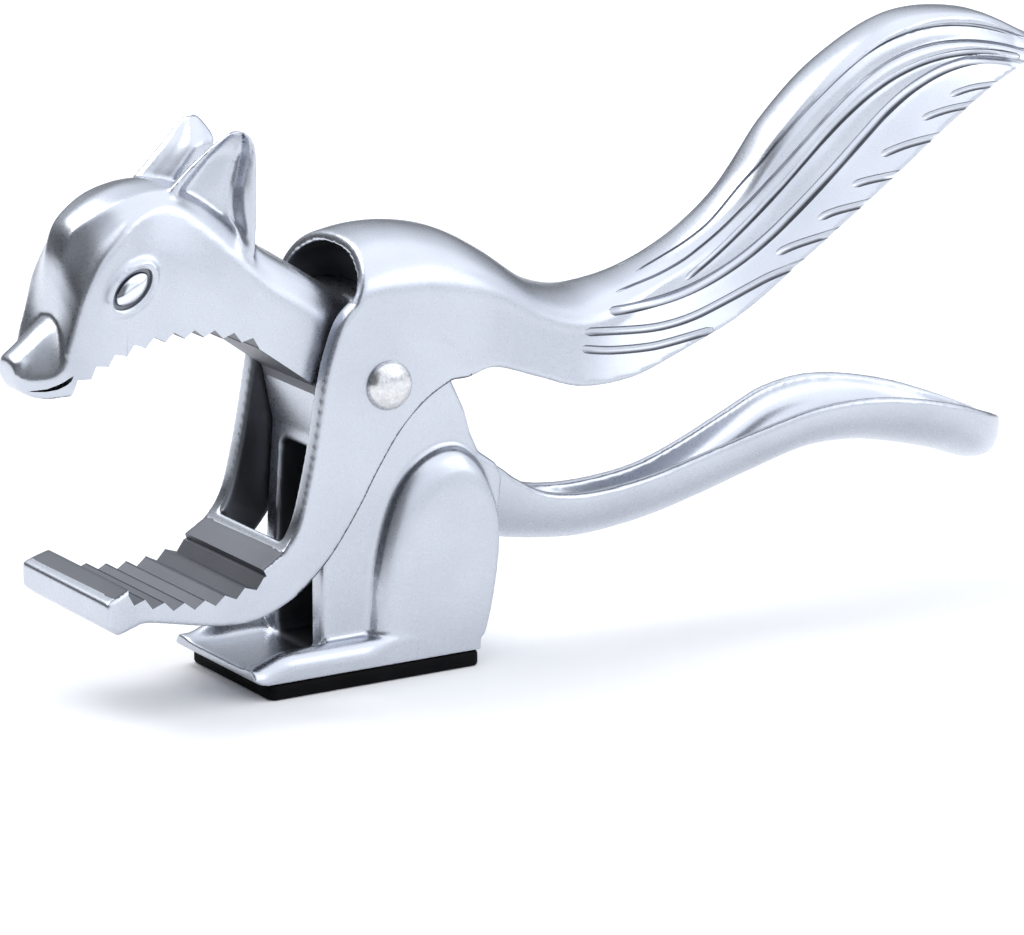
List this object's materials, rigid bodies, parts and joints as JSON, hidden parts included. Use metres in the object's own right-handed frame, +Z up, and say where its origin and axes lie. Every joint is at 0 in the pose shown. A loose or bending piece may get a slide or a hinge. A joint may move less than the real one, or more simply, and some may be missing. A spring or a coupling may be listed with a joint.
{
  "type": "lever nutcracker press",
  "caption": "Cast-metal animal-shaped hand nutcracker: fixed head and base with a lower handle, and a pivoting toothed lower jaw worked by a long hollow tail lever.",
  "frame": {"origin": "middle of the base pad's underside, on the table, midway between the two sides", "axes": "-X towards the nose and +X towards the tail's tip, +Z up, -Y the side that the picture shows"},
  "size_m": [0.1803, 0.0278, 0.0879],
  "materials": {
    "cast_body": "satin",
    "cast_lever": "satin",
    "rivet_steel": "polished",
    "bush_bronze": "satin",
    "washer_plastic": "matte",
    "pad_rubber": "matte"
  },
  "bodies": {
    "body": {"body_casting": "cast_body", "pivot_bush": "bush_bronze", "near_washer": "washer_plastic", "far_washer": "washer_plastic", "base_pad": "pad_rubber"},
    "lever": {"tail_lever": "cast_lever", "pivot_rivet": "rivet_steel", "rivet_cap": "rivet_steel"}
  },
  "joints": [
    {"name": "jaw_pivot", "type": "hinge", "parent": "body", "child": "lever", "pos_m": [0.0023, 0, 0.04435], "axis": [0, 1, 0], "range_deg": [-9, 18]}
  ]
}
